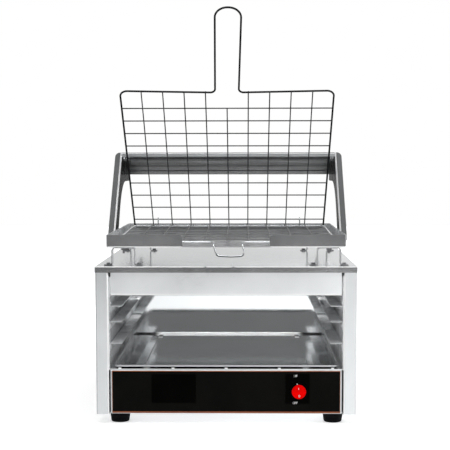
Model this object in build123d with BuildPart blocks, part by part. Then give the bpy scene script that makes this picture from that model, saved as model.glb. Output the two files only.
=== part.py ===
from build123d import *
from math import atan2, cos, degrees, radians, sin
import os

os.makedirs("parts", exist_ok=True)

# Sheet metal and general fits
sheet = 1.0
outer_bend = 2.5
running_gap = 0.15
hole_gap = 0.2
weld_sink = 0.01
shell_gap = 0.6

# Cabinet shell
cabinet_width = 424.0
cabinet_depth = 436.0
foot_height = 16.5
body_height = 241.5
top_lip = 10.0
top_edge_radius = 1.5
top_notch_width = 3.0
top_notch_depth = 0.8
top_notch_height = 1.5
left_notch_x = -33.0
right_notch_x = 12.0
post_width = 21.0
post_return = 13.0
plate_flange = 12.0
plate_setback = 14.5

# Front panels
fascia_side_gap = 3.5
fascia_setback = 4.5
fascia_height = 47.5
fascia_return = 14.0
fascia_bend = 3.0
base_side_gap = 2.5
base_setback = 1.2
base_height = 73.5
base_flange = 24.8
overlay_side_margin = 3.0
overlay_bottom_margin = 5.0
overlay_top_margin = 2.9
overlay_thickness = 0.4
edge_line_side = 0.7
edge_line_top = 1.4
edge_line_bottom = 2.6
label_thickness = 0.3
blank_left_margin = 63.5
blank_width = 72.0
blank_bottom_margin = 14.1
blank_height = 47.4
label_left_reach = 22.1
label_right_reach = 17.4
label_drop = 19.8
label_rise = 29.4
label_corner = 0.8

# Round rocker switch
switch_side_inset = 93.9
switch_rise = 37.9
bezel_radius = 14.5
bezel_height = 2.5
switch_body_radius = 12.5
switch_body_depth = 25.0
switch_bore_radius = 11.9
switch_bore_depth = 13.0
rocker_radius = 11.6
rocker_back = 6.0
rocker_tilt = 7.0
rocker_middle = 1.0
rocker_end = 2.42
pivot_depth = 1.3
pin_radius = 0.8
pin_gap = 0.05
pin_half_length = 13.0
blade_width = 1.0
blade_height = 6.0
blade_length = 6.0
blade_spacing = 5.0

# Feet and their screws
foot_side_inset = 37.0
front_foot_inset = 30.0
rear_foot_margin = 27.0
foot_top_radius = 17.0
foot_bottom_radius = 14.6
foot_edge_radius = 2.0
foot_recess_radius = 5.0
foot_recess_depth = 7.0

# Screws, rivets and nuts
screw_head_radius = 3.2
screw_head_height = 2.2
screw_shank_radius = 2.0
screw_slot_width = 0.8
screw_slot_depth = 0.8
deck_head_radius = 2.6
deck_head_height = 1.4
deck_shank_radius = 1.5
rivet_head_radius = 2.5
rivet_tip_radius = 1.5
rivet_head_height = 0.9
rivet_shank_radius = 1.5
nut_flat_radius = 3.5
nut_height = 3.2
tray_bolt_length = 11.0

# Warming chamber
liner_side_gap = 23.0
liner_base_lap = 1.0
liner_top_margin = 15.0
liner_front = 3.0
chamber_rear_gap = 48.0
deck_front = 4.0
deck_thickness = 1.0
deck_overrun = 10.0
deck_screw_count = 5
deck_screw_side_margin = 16.2
deck_screw_inset = 6.8
deck_screw_length = 5.0
rail_width = 20.0
rail_leg = 13.0
rail_front = 5.0
rail_back_gap = 10.0
upper_rail_rise = 102.4
middle_rail_rise = 77.0
lower_rail_rise = 41.8
upper_rivet_rise = 4.3
middle_rivet_drop = 7.2
lower_rivet_drop = 5.6
rail_rivet_first = 12.0
rail_rivet_rear_margin = 14.0
rail_rivet_count = 3
reflector_drop = 19.0
reflector_front = 20.0
duct_rear_gap = 3.0

# Crumb tray
crumb_side_gap = 5.5
crumb_front = 11.0
crumb_back_gap = 3.0
crumb_sheet = 0.8
crumb_stand = 1.9
crumb_rim_height = 3.2
crumb_corner = 8.0
crumb_runner_x = 130.0
crumb_runner_width = 10.0

# Heating elements
element_radius = 4.0
element_drop = 14.0
element_inner_x = 45.0
element_side_gap = 39.0
element_front = 50.0
element_bend = 30.0
element_pin_radius = 1.6
element_pin_length = 8.8
bracket_front = 130.0
bracket_rear_margin = 100.0
bracket_side_gap = 24.0
bracket_drop = 24.0
bracket_sheet = 1.5
bush_flange_radius = 8.0
bush_flange_height = 2.0
bush_body_radius = 6.0
bush_body_length = 5.0

# Wiring inside the cabinet
block_side_inset = 62.0
block_rear_margin = 43.0
block_length = 40.0
block_depth = 20.0
block_height = 18.0
block_well_radius = 3.0
block_well_depth = 6.0
block_well_pitch = 12.0
lead_radius = 1.2
lead_bend = 6.0
lead_rise = 45.0
riser_lead_margin = 8.0
gland_side_inset = 62.0
gland_rise = 30.0
gland_reach = 14.0
gland_hex_radius = 10.0
gland_hex_height = 5.0
gland_dome_radius = 8.5
gland_thread_radius = 6.0
gland_bore_radius = 4.0
gland_inside = 9.0
gland_dome_round = 3.0
back_screw_side_inset = 12.0
back_screw_low_rise = 30.0
back_screw_high_drop = 30.0

# Riser brackets under the tray
riser_span = 35.9
riser_side_inset = 9.4
riser_height = 29.0
riser_width = 22.0
riser_sheet = 1.5
riser_bend = 4.0
riser_foot = 13.5
riser_screw_reach = 7.4
front_riser_margin = 14.0
rear_riser_margin = 43.0

# Upper tray
tray_side_inset = 17.3
tray_front = 20.0
tray_rear_inset = 31.0
tray_height = 20.6
tray_bend = 2.0
notch_half_width = 71.0
notch_floor = 2.8
notch_corner = 5.0

# Hood
hood_sheet = 1.2
hood_foot_inset = 170.0
hood_foot_rise = 30.0
hood_lean = 0.947
hood_bottom_rise = 4.0
hood_top_rise = 156.0
hood_flange = 12.0
hood_web_lap = 12.0
hood_bend = 3.0
hood_corner = 8.0
hood_web_inset = 6.0
hood_rear_start = 206.0
hood_corner_inset = 283.9
hood_underside_drop = 53.0
hood_curve = 136.0
roof_front = 286.0
roof_lip = 7.5
roof_skirt = 41.2
roof_tab_front = 300.0
roof_tab_rear_gap = 8.0
roof_tab_height = 14.0
tray_rivet_rise = 12.0
tray_rivet_first = 172.0
tray_rivet_second = 198.0
roof_rivet_drop = 9.0
roof_rivet_first = 318.0
roof_rivet_rear_margin = 14.0
roof_rivet_count = 3

# Wire sizes and the hinge
frame_wire = 1.6
inner_wire = 1.0
hook_wire = 1.2
wire_corner = 12.0
hinge_margin = 31.2
hinge_rise = 30.0
hook_gap = 0.3
hook_side_inset = 46.0
hook_leg = 14.0
hook_curl = 270.0
mesh_side_gap = 13.7
mesh_columns = 10

# Rack
rack_front_margin = 16.0
rack_front_rise = 8.4
rack_back_rise = 17.5
rack_cross_count = 9
rack_handle_left_x = -21.0
rack_handle_right_x = 26.0
rack_handle_reach = 24.0
rack_handle_drop = 19.9
rack_handle_lean = 5.0
rack_handle_sag = 1.2
rack_handle_bend = 7.0
rack_handle_low_left_x = -15.0
rack_handle_low_right_x = 31.0
rack_foot_side_inset = 53.0
rack_foot_width = 28.0
rack_foot_bend = 5.0
rack_foot_gap = 0.1

# Grid
grid_lean = 42.5
grid_bottom_reach = 28.0
grid_top_reach = 336.7
grid_handle_reach = 516.6
grid_cross_count = 9
grid_last_pitch = 35.3
grid_pitch_change = 0.6
grid_top_sag = 4.0
grid_handle_base = 20.0
grid_handle_base_bend = 8.0
grid_handle_half_width = 21.0
grid_handle_offset = 4.0
grid_handle_bend = 20.4
grid_wire_overhang = 1.0

# Derived positions: the origin is under the middle of the whole object
half_width = cabinet_width / 2
chamber_depth = cabinet_depth - chamber_rear_gap
duct_depth = cabinet_depth - duct_rear_gap
tray_back = cabinet_depth - tray_rear_inset
hinge_inset = tray_back - hinge_margin
frame_drop = frame_wire + inner_wire - 2 * inner_wire
lean = radians(grid_lean)
grid_tip = grid_handle_reach * cos(lean) - frame_drop * sin(lean) + frame_wire - hinge_inset
front_y = (grid_tip - cabinet_depth - gland_reach) / 2
back_y = front_y + cabinet_depth
mid_y = (front_y + back_y) / 2
rear_flange_y = back_y - sheet
duct_y = front_y + duct_depth
chamber_y = front_y + chamber_depth
post_y = front_y + sheet
base_y = front_y + base_setback
overlay_y = base_y - overlay_thickness
label_y = overlay_y - label_thickness
bezel_y = label_y - bezel_height
pivot_y = bezel_y + pivot_depth
hinge_y = front_y + hinge_inset
riser_lead_y = duct_y - riser_lead_margin
block_y = duct_y - block_rear_margin
element_front_y = front_y + element_front
element_rear_y = riser_lead_y - lead_radius - element_pin_length
crumb_front_y = front_y + crumb_front
crumb_back_y = chamber_y - crumb_back_gap
rail_front_y = front_y + rail_front
rail_back_y = chamber_y - rail_back_gap

side_x = half_width - sheet
post_x = side_x - post_width
fascia_half_width = post_x - fascia_side_gap
base_half_width = post_x - base_side_gap
overlay_half_width = base_half_width - overlay_side_margin
liner_inner_x = half_width - liner_side_gap
crumb_half_width = liner_inner_x - crumb_side_gap
element_outer_x = liner_inner_x - element_side_gap
bracket_half_width = liner_inner_x - bracket_side_gap
switch_x = half_width - switch_side_inset
gland_x = gland_side_inset - half_width
block_x = block_side_inset - half_width
back_screw_x = half_width - back_screw_side_inset
foot_x = half_width - foot_side_inset
tray_half_width = half_width - tray_side_inset
riser_outer_x = tray_half_width - riser_side_inset
riser_inner_x = riser_outer_x - riser_span
tray_bolt_x = (riser_inner_x + riser_outer_x) / 2
mesh_half_width = tray_half_width - mesh_side_gap
mesh_pitch = 2 * mesh_half_width / mesh_columns
hook_x = mesh_half_width - hook_side_inset
rack_foot_right_x = mesh_half_width - rack_foot_side_inset
rack_foot_left_x = rack_foot_right_x - rack_foot_width

top_z = foot_height + body_height
fascia_bottom_z = top_z - fascia_height
base_top_z = foot_height + base_height
overlay_top_z = base_top_z - overlay_top_margin
overlay_bottom_z = foot_height + overlay_bottom_margin
switch_z = foot_height + switch_rise
gland_z = foot_height + gland_rise
lead_level = foot_height + lead_rise
back_screw_low_z = foot_height + back_screw_low_rise
back_screw_high_z = top_z - back_screw_high_drop
deck_z = base_top_z + deck_thickness
liner_bottom_z = base_top_z - liner_base_lap
liner_top_z = top_z - liner_top_margin
reflector_z = top_z - reflector_drop
element_z = reflector_z - element_drop
crumb_floor_z = deck_z + crumb_stand
upper_rail_z = deck_z + upper_rail_rise
middle_rail_z = deck_z + middle_rail_rise
lower_rail_z = deck_z + lower_rail_rise
tray_z = top_z + riser_height
riser_top_z = tray_z - riser_sheet
tray_rivet_z = tray_z + tray_rivet_rise
hood_foot_z = tray_z + hood_foot_rise
hood_bottom_z = tray_z + hood_bottom_rise
hood_top_z = tray_z + hood_top_rise
hood_underside_z = hood_top_z - hood_underside_drop
roof_rivet_z = hood_top_z - roof_rivet_drop
hinge_z = tray_z + hinge_rise
hook_foot_z = hinge_z - hook_leg
rack_front_z = tray_z + rack_front_rise
rack_back_z = tray_z + rack_back_rise

hook_loop = inner_wire + hook_gap + hook_wire
rack_bar_y = hinge_y - hook_loop + hook_wire + frame_wire - weld_sink
rack_front_y = front_y + tray_front + rack_front_margin
rack_slope = atan2(rack_back_z - rack_front_z, rack_bar_y - rack_front_y)
rack_length = (rack_bar_y - rack_front_y) / cos(rack_slope)
foot_ys = [front_y + front_foot_inset, duct_y - rear_foot_margin]
foot_spots = [(side * foot_x, y) for y in foot_ys for side in (-1, 1)]
riser_spots = [front_y + tray_front + front_riser_margin, front_y + tray_back - rear_riser_margin]
riser_screw_xs = [riser_inner_x - riser_screw_reach, riser_outer_x + riser_screw_reach]
riser_screw_spots = [(side * x, y) for y in riser_spots for side in (-1, 1) for x in riser_screw_xs]
tray_bolt_spots = [(side * tray_bolt_x, y) for y in riser_spots for side in (-1, 1)]
deck_screw_reach = liner_inner_x - deck_screw_side_margin
deck_screw_pitch = 2 * deck_screw_reach / (deck_screw_count - 1)
deck_screw_spots = [
    (n * deck_screw_pitch - deck_screw_reach, front_y + deck_screw_inset)
    for n in range(deck_screw_count)
]
back_screw_spots = [
    (side * back_screw_x, z)
    for z in (back_screw_low_z, back_screw_high_z)
    for side in (-1, 1)
]
rail_rivet_start = front_y + rail_rivet_first
rail_rivet_pitch = (rail_back_y - rail_rivet_rear_margin - rail_rivet_start) / (rail_rivet_count - 1)
rail_rivet_ys = [rail_rivet_start + n * rail_rivet_pitch for n in range(rail_rivet_count)]
tray_rivet_ys = [front_y + tray_rivet_first, front_y + tray_rivet_second]
roof_tab_back = cabinet_depth - roof_tab_rear_gap
roof_rivet_last = roof_tab_back - roof_rivet_rear_margin
roof_rivet_pitch = (roof_rivet_last - roof_rivet_first) / (roof_rivet_count - 1)
roof_rivet_ys = [front_y + roof_rivet_first + n * roof_rivet_pitch for n in range(roof_rivet_count)]
low_align = (Align.CENTER, Align.CENTER, Align.MIN)
high_align = (Align.CENTER, Align.CENTER, Align.MAX)


def save(built, name):
    built.part.label = name
    export_step(built.part, "parts/" + name + ".step")


def other_hand(built):
    with BuildPart() as twin:
        mirror(built.part, about=Plane.YZ)
    return twin


def headed_pin(head_radius, head_height, shank_radius, shank_length):
    Cylinder(head_radius, head_height, align=low_align)
    Cylinder(shank_radius, shank_length, align=high_align)


def cross_slot(head_radius, head_height):
    with Locations((0, 0, head_height)):
        Box(head_radius, screw_slot_width, screw_slot_depth, align=high_align, mode=Mode.SUBTRACT)
        Box(screw_slot_width, head_radius, screw_slot_depth, align=high_align, mode=Mode.SUBTRACT)


def swept_wire(path, radius):
    with BuildSketch(Plane(origin=path @ 0, z_dir=path % 0)) as section:
        Circle(radius)
    sweep(section.sketch, path=path)


# Side panels: the front flange of each is the visible corner post
with BuildPart() as right_side_panel:
    with BuildSketch(Plane.XY.offset(foot_height)):
        with BuildLine():
            FilletPolyline(
                (post_x, post_y + post_return),
                (post_x, post_y),
                (side_x, post_y),
                (side_x, rear_flange_y),
                (post_x, rear_flange_y),
                radius=outer_bend,
            )
            offset(amount=sheet, side=Side.LEFT)
        make_face()
    extrude(amount=body_height - sheet - shell_gap)
    with Locations(*[(back_screw_x, rear_flange_y, z) for z in (back_screw_low_z, back_screw_high_z)]):
        Cylinder(deck_shank_radius + hole_gap, 4 * sheet, rotation=(90, 0, 0), mode=Mode.SUBTRACT)
save(right_side_panel, "right_side_panel")
left_side_panel = other_hand(right_side_panel)
save(left_side_panel, "left_side_panel")

# Top panel: a shallow lid whose lips hang over the sides
with BuildPart() as top_panel:
    with Locations((0, mid_y, top_z)):
        Box(cabinet_width, cabinet_depth, top_lip, align=high_align)
    bottom_rim = top_panel.edges().group_by(Axis.Z)[0]
    fillet(top_panel.edges() - bottom_rim, top_edge_radius)
    offset(amount=-sheet, openings=top_panel.faces().sort_by(Axis.Z)[0])
    with Locations(*[(x, y, top_z) for x, y in riser_screw_spots]):
        Cylinder(screw_shank_radius + hole_gap, 4 * sheet, mode=Mode.SUBTRACT)
    with Locations((left_notch_x, front_y, top_z), (right_notch_x, front_y, top_z)):
        Box(top_notch_width, 2 * top_notch_depth, 2 * top_notch_height, mode=Mode.SUBTRACT)
save(top_panel, "top_panel")

# Bottom plate: upturned at both sides and the back
with BuildPart() as bottom_plate:
    with Locations((0, front_y + plate_setback, foot_height)):
        Box(
            2 * (side_x - sheet),
            duct_depth - shell_gap - plate_setback,
            plate_flange,
            align=(Align.CENTER, Align.MIN, Align.MIN),
        )
    offset(
        amount=-sheet,
        openings=[bottom_plate.faces().sort_by(Axis.Z)[-1], bottom_plate.faces().sort_by(Axis.Y)[0]],
    )
    with Locations(*[(x, y, foot_height) for x, y in foot_spots]):
        Cylinder(screw_shank_radius + hole_gap, 4 * sheet, mode=Mode.SUBTRACT)
save(bottom_plate, "bottom_plate")

# Back panel, held by the rear flanges of the sides
with BuildPart() as back_panel:
    with BuildSketch(Plane.XZ.offset(-rear_flange_y + sheet)):
        with Locations((0, (foot_height + top_z) / 2)):
            Rectangle(2 * (side_x - outer_bend), body_height - 2 * sheet)
        with Locations(*back_screw_spots):
            Circle(deck_shank_radius + hole_gap, mode=Mode.SUBTRACT)
        with Locations((gland_x, gland_z)):
            Circle(gland_thread_radius + hole_gap, mode=Mode.SUBTRACT)
    extrude(amount=sheet)
save(back_panel, "back_panel")

# Upper fascia with a rolled lower edge
with BuildPart() as upper_fascia:
    with BuildSketch(Plane.YZ):
        with BuildLine():
            FilletPolyline(
                (front_y + fascia_setback + fascia_return, top_z - sheet),
                (front_y + fascia_setback, top_z - sheet),
                (front_y + fascia_setback, fascia_bottom_z),
                (front_y + fascia_setback + fascia_return, fascia_bottom_z),
                radius=fascia_bend,
            )
            offset(amount=sheet, side=Side.LEFT)
        make_face()
    extrude(amount=fascia_half_width, both=True)
save(upper_fascia, "upper_fascia")

# Lower front panel with its flanges and the switch hole
with BuildPart() as base_front_panel:
    with BuildSketch(Plane.YZ):
        with BuildLine():
            FilletPolyline(
                (base_y + base_flange, base_top_z),
                (base_y, base_top_z),
                (base_y, foot_height + sheet),
                (base_y + base_flange, foot_height + sheet),
                radius=outer_bend,
            )
            offset(amount=sheet, side=Side.LEFT)
        make_face()
    extrude(amount=base_half_width, both=True)
    with Locations((switch_x, base_y, switch_z)):
        Cylinder(switch_body_radius + hole_gap, 4 * sheet, rotation=(90, 0, 0), mode=Mode.SUBTRACT)
    with Locations(*[(x, y, base_top_z) for x, y in deck_screw_spots]):
        Cylinder(deck_shank_radius + hole_gap, 4 * sheet, mode=Mode.SUBTRACT)
    with Locations(*[(x, y, foot_height) for x, y in foot_spots]):
        Cylinder(screw_head_radius, 8 * sheet, mode=Mode.SUBTRACT)
save(base_front_panel, "base_front_panel")

# Glossy overlay, the thin line round it and the two plates on it
overlay_mid_z = (overlay_bottom_z + overlay_top_z) / 2
overlay_height = overlay_top_z - overlay_bottom_z
with BuildPart() as control_overlay:
    with BuildSketch(Plane.XZ.offset(-base_y)):
        with Locations((0, overlay_mid_z)):
            Rectangle(2 * overlay_half_width, overlay_height)
        with Locations((switch_x, switch_z)):
            Circle(switch_body_radius + hole_gap, mode=Mode.SUBTRACT)
    extrude(amount=overlay_thickness)
save(control_overlay, "control_overlay")

with BuildPart() as overlay_edge_line:
    with BuildSketch(Plane.XZ.offset(-base_y)):
        with Locations((0, overlay_mid_z + (edge_line_top - edge_line_bottom) / 2)):
            Rectangle(
                2 * (overlay_half_width + edge_line_side),
                overlay_height + edge_line_top + edge_line_bottom,
            )
        with Locations((0, overlay_mid_z)):
            Rectangle(2 * overlay_half_width, overlay_height, mode=Mode.SUBTRACT)
    extrude(amount=overlay_thickness)
save(overlay_edge_line, "overlay_edge_line")

with BuildPart() as blank_plate:
    with BuildSketch(Plane.XZ.offset(-overlay_y)):
        with Locations(
            (
                blank_left_margin + blank_width / 2 - overlay_half_width,
                overlay_bottom_z + blank_bottom_margin + blank_height / 2,
            )
        ):
            RectangleRounded(blank_width, blank_height, label_corner)
    extrude(amount=label_thickness)
save(blank_plate, "blank_plate")

with BuildPart() as switch_plate:
    with BuildSketch(Plane.XZ.offset(-overlay_y)):
        with Locations(
            (switch_x + (label_right_reach - label_left_reach) / 2, switch_z + (label_rise - label_drop) / 2)
        ):
            RectangleRounded(label_left_reach + label_right_reach, label_drop + label_rise, label_corner)
        with Locations((switch_x, switch_z)):
            Circle(switch_body_radius + hole_gap, mode=Mode.SUBTRACT)
    extrude(amount=label_thickness)
save(switch_plate, "switch_plate")

# Switch body: round bezel, barrel behind the panel, bore for the rocker and two blades
with BuildPart() as switch_body:
    with BuildSketch(Plane.XZ.offset(-label_y)):
        with Locations((switch_x, switch_z)):
            Circle(bezel_radius)
    extrude(amount=bezel_height)
    fillet(switch_body.edges().sort_by(Axis.Y)[0], bezel_height / 3)
    with BuildSketch(Plane.XZ.offset(-label_y)):
        with Locations((switch_x, switch_z)):
            Circle(switch_body_radius)
    extrude(amount=-switch_body_depth)
    with BuildSketch(Plane.XZ.offset(-bezel_y)):
        with Locations((switch_x, switch_z)):
            Circle(switch_bore_radius)
    extrude(amount=-switch_bore_depth, mode=Mode.SUBTRACT)
    with Locations((switch_x, pivot_y, switch_z)):
        Cylinder(
            pin_radius + pin_gap,
            2 * (pin_half_length + running_gap),
            rotation=(0, 90, 0),
            mode=Mode.SUBTRACT,
        )
    blade_y = label_y + switch_body_depth
    with Locations(*[(switch_x + side * blade_spacing, blade_y, switch_z) for side in (-1, 1)]):
        Box(blade_width, blade_length, blade_height, align=(Align.CENTER, Align.MIN, Align.CENTER))
save(switch_body, "switch_body")

# Rocker: a ball cut by two shallow faces, tipped to the off position
tilt = radians(rocker_tilt)
rocker_side = Plane(origin=(switch_x, pivot_y, switch_z), x_dir=(0, -sin(tilt), cos(tilt)), z_dir=(1, 0, 0))
with BuildPart() as switch_rocker:
    with Locations((switch_x, pivot_y, switch_z)):
        Sphere(rocker_radius)
    with BuildSketch(rocker_side):
        with BuildLine():
            Polyline(
                (-rocker_radius, -rocker_back),
                (rocker_radius, -rocker_back),
                (rocker_radius, rocker_end),
                (0, rocker_middle),
                (-rocker_radius, rocker_end),
                close=True,
            )
        make_face()
    extrude(amount=rocker_radius, both=True, mode=Mode.INTERSECT)
    with Locations((switch_x, pivot_y, switch_z)):
        Cylinder(pin_radius, 2 * pin_half_length, rotation=(0, 90, 0))
save(switch_rocker, "switch_rocker")


# Feet with recessed screws
def foot(x, y):
    with BuildPart() as built:
        with Locations((x, y, 0)):
            Cone(foot_bottom_radius, foot_top_radius, foot_height, align=low_align)
        fillet(built.edges().group_by(Axis.Z)[0], foot_edge_radius)
        with Locations((x, y, 0)):
            Cylinder(foot_recess_radius, foot_recess_depth, align=low_align, mode=Mode.SUBTRACT)
            Cylinder(screw_shank_radius + hole_gap, foot_height, align=low_align, mode=Mode.SUBTRACT)
    return built


foot_names = ["foot_front_left", "foot_front_right", "foot_rear_left", "foot_rear_right"]
for name, (x, y) in zip(foot_names, foot_spots):
    save(foot(x, y), name)

with BuildPart() as foot_screws:
    with Locations(*[Location((x, y, foot_recess_depth), (180, 0, 0)) for x, y in foot_spots]):
        headed_pin(screw_head_radius, screw_head_height, screw_shank_radius, foot_height)
save(foot_screws, "foot_screws")

# Chamber liners with outward flanges that reach the side panels
with BuildPart() as right_liner:
    with BuildSketch(Plane.XZ.offset(-chamber_y)):
        with BuildLine():
            Polyline(
                (side_x - sheet, liner_bottom_z),
                (liner_inner_x, liner_bottom_z),
                (liner_inner_x, liner_top_z),
                (side_x - sheet, liner_top_z),
                (side_x - sheet, liner_top_z - sheet),
                (liner_inner_x + sheet, liner_top_z - sheet),
                (liner_inner_x + sheet, liner_bottom_z + sheet),
                (side_x - sheet, liner_bottom_z + sheet),
                close=True,
            )
        make_face()
    extrude(amount=chamber_depth - plate_setback)
    with Locations((liner_inner_x, front_y + liner_front, liner_bottom_z)):
        Box(
            sheet,
            plate_setback - liner_front,
            liner_top_z - liner_bottom_z,
            align=(Align.MIN, Align.MIN, Align.MIN),
        )
    with Locations(
        *[
            (liner_inner_x, y, z)
            for y in rail_rivet_ys
            for z in (
                upper_rail_z + upper_rivet_rise,
                middle_rail_z - middle_rivet_drop,
                lower_rail_z - lower_rivet_drop,
            )
        ]
    ):
        Cylinder(rivet_shank_radius + pin_gap, 4 * sheet, rotation=(0, 90, 0), mode=Mode.SUBTRACT)
save(right_liner, "right_liner")
left_liner = other_hand(right_liner)
save(left_liner, "left_liner")

element_holes = [(side * x, element_z) for side in (-1, 1) for x in (element_inner_x, element_outer_x)]
with BuildPart() as chamber_back:
    with BuildSketch(Plane.XZ.offset(-chamber_y)):
        with Locations((0, (deck_z + reflector_z) / 2)):
            Rectangle(2 * liner_inner_x, reflector_z - deck_z)
        with Locations(*element_holes):
            Circle(bush_body_radius + pin_gap, mode=Mode.SUBTRACT)
    extrude(amount=-sheet)
save(chamber_back, "chamber_back")

with BuildPart() as chamber_deck:
    with Locations((0, front_y + deck_front, base_top_z)):
        Box(
            2 * liner_inner_x,
            chamber_depth + deck_overrun - deck_front,
            deck_thickness,
            align=(Align.CENTER, Align.MIN, Align.MIN),
        )
    with Locations(*[(x, y, base_top_z) for x, y in deck_screw_spots]):
        Cylinder(deck_shank_radius + hole_gap, 4 * sheet, mode=Mode.SUBTRACT)
save(chamber_deck, "chamber_deck")

with BuildPart() as deck_screws:
    with Locations(*[(x, y, deck_z) for x, y in deck_screw_spots]):
        headed_pin(deck_head_radius, deck_head_height, deck_shank_radius, deck_screw_length)
    fillet(deck_screws.edges().group_by(Axis.Z)[-1], deck_head_height / 2)
save(deck_screws, "deck_screws")


# Ledge rails: angles riveted to the liners, the upper ones with their leg turned up
def ledge_rail(shelf_z, leg_up, rivet_z):
    shelf_outer_z = shelf_z - sheet if leg_up else shelf_z
    leg_end_z = shelf_outer_z + rail_leg if leg_up else shelf_outer_z - rail_leg
    route = [
        (liner_inner_x - rail_width, shelf_outer_z),
        (liner_inner_x, shelf_outer_z),
        (liner_inner_x, leg_end_z),
    ]
    with BuildPart() as built:
        with BuildSketch(Plane.XZ.offset(-rail_back_y)):
            with BuildLine():
                FilletPolyline(*(route if leg_up else reversed(route)), radius=outer_bend)
                offset(amount=sheet, side=Side.LEFT)
            make_face()
        extrude(amount=rail_back_y - rail_front_y)
        with Locations(*[(liner_inner_x, y, rivet_z) for y in rail_rivet_ys]):
            Cylinder(rivet_shank_radius + pin_gap, 4 * sheet, rotation=(0, 90, 0), mode=Mode.SUBTRACT)
    return built


rails = {
    "upper": (upper_rail_z, True, upper_rail_z + upper_rivet_rise),
    "middle": (middle_rail_z, False, middle_rail_z - middle_rivet_drop),
    "lower": (lower_rail_z, False, lower_rail_z - lower_rivet_drop),
}
for level, (shelf_z, leg_up, rivet_z) in rails.items():
    rail = ledge_rail(shelf_z, leg_up, rivet_z)
    save(rail, "right_" + level + "_rail")
    save(other_hand(rail), "left_" + level + "_rail")

rail_rivet_spots = [
    (side, y, rivet_z)
    for side in (-1, 1)
    for y in rail_rivet_ys
    for shelf_z, leg_up, rivet_z in rails.values()
]
with BuildPart() as rail_rivets:
    with Locations(
        *[
            Location((side * (liner_inner_x - sheet), y, z), (0, -90 * side, 0))
            for side, y, z in rail_rivet_spots
        ]
    ):
        Cone(rivet_head_radius, rivet_tip_radius, rivet_head_height, align=low_align)
        Cylinder(rivet_shank_radius, 2 * sheet, align=high_align)
save(rail_rivets, "rail_rivets")

# Crumb tray: shallow pan on two pressed runners
crumb_length = crumb_back_y - crumb_front_y
with BuildPart() as crumb_tray:
    with Locations((0, crumb_front_y, crumb_floor_z)):
        Box(
            2 * crumb_half_width,
            crumb_length,
            crumb_rim_height,
            align=(Align.CENTER, Align.MIN, Align.MIN),
        )
    fillet(crumb_tray.edges().filter_by(Axis.Z), crumb_corner)
    fillet(crumb_tray.edges().group_by(Axis.Z)[0], crumb_sheet * 2)
    offset(amount=-crumb_sheet, openings=crumb_tray.faces().sort_by(Axis.Z)[-1])
    crumb_mid_y = crumb_front_y + crumb_length / 2
    with Locations(*[(side * crumb_runner_x, crumb_mid_y, crumb_floor_z) for side in (-1, 1)]):
        Box(
            crumb_runner_width,
            crumb_length - 2 * crumb_corner,
            crumb_floor_z - deck_z - running_gap,
            align=high_align,
        )
        Box(
            crumb_runner_width - 2 * crumb_sheet,
            crumb_length - 2 * crumb_corner - 2 * crumb_sheet,
            2 * (crumb_floor_z - deck_z - running_gap - crumb_sheet),
            mode=Mode.SUBTRACT,
        )
save(crumb_tray, "crumb_tray")

# Heat reflector above the elements
with BuildPart() as heat_reflector:
    with Locations((0, front_y + reflector_front, reflector_z)):
        Box(
            2 * liner_inner_x,
            chamber_depth + sheet - reflector_front,
            sheet,
            align=(Align.CENTER, Align.MIN, Align.MIN),
        )
save(heat_reflector, "heat_reflector")

# Heating elements: hairpin rods that pass through the chamber back
with BuildPart() as right_heating_element:
    with BuildLine() as element_path:
        FilletPolyline(
            (element_inner_x, element_rear_y, element_z),
            (element_inner_x, element_front_y, element_z),
            (element_outer_x, element_front_y, element_z),
            (element_outer_x, element_rear_y, element_z),
            radius=element_bend,
        )
    swept_wire(element_path.line, element_radius)
    with Locations(*[(x, element_rear_y, element_z) for x in (element_inner_x, element_outer_x)]):
        Cylinder(element_pin_radius, 2 * element_pin_length, rotation=(90, 0, 0))
save(right_heating_element, "right_heating_element")
left_heating_element = other_hand(right_heating_element)
save(left_heating_element, "left_heating_element")

with BuildPart() as element_brackets:
    for y in (front_y + bracket_front, chamber_y - bracket_rear_margin):
        with BuildSketch(Plane.XZ.offset(-y)):
            with Locations((0, reflector_z)):
                Rectangle(2 * bracket_half_width, bracket_drop, align=(Align.CENTER, Align.MAX))
            with Locations(*element_holes):
                Circle(element_radius + hole_gap, mode=Mode.SUBTRACT)
        extrude(amount=bracket_sheet)
save(element_brackets, "element_brackets")

with BuildPart() as element_bushes:
    with Locations(*[Location((x, chamber_y, z), (90, 0, 0)) for x, z in element_holes]):
        Cylinder(bush_flange_radius, bush_flange_height, align=low_align)
        Cylinder(bush_body_radius, bush_body_length, align=high_align)
        Cylinder(element_radius + pin_gap, 4 * bush_body_length, mode=Mode.SUBTRACT)
save(element_bushes, "element_bushes")

# Terminal block on the bottom plate
block_floor_z = foot_height + sheet
with BuildPart() as terminal_block:
    with Locations((block_x, block_y, block_floor_z)):
        Box(block_length, block_depth, block_height, align=low_align)
    block_top_z = block_floor_z + block_height
    with Locations(*[(block_x + n * block_well_pitch, block_y, block_top_z) for n in (-1, 0, 1)]):
        Cylinder(block_well_radius, block_well_depth, align=high_align, mode=Mode.SUBTRACT)
save(terminal_block, "terminal_block")

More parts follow.
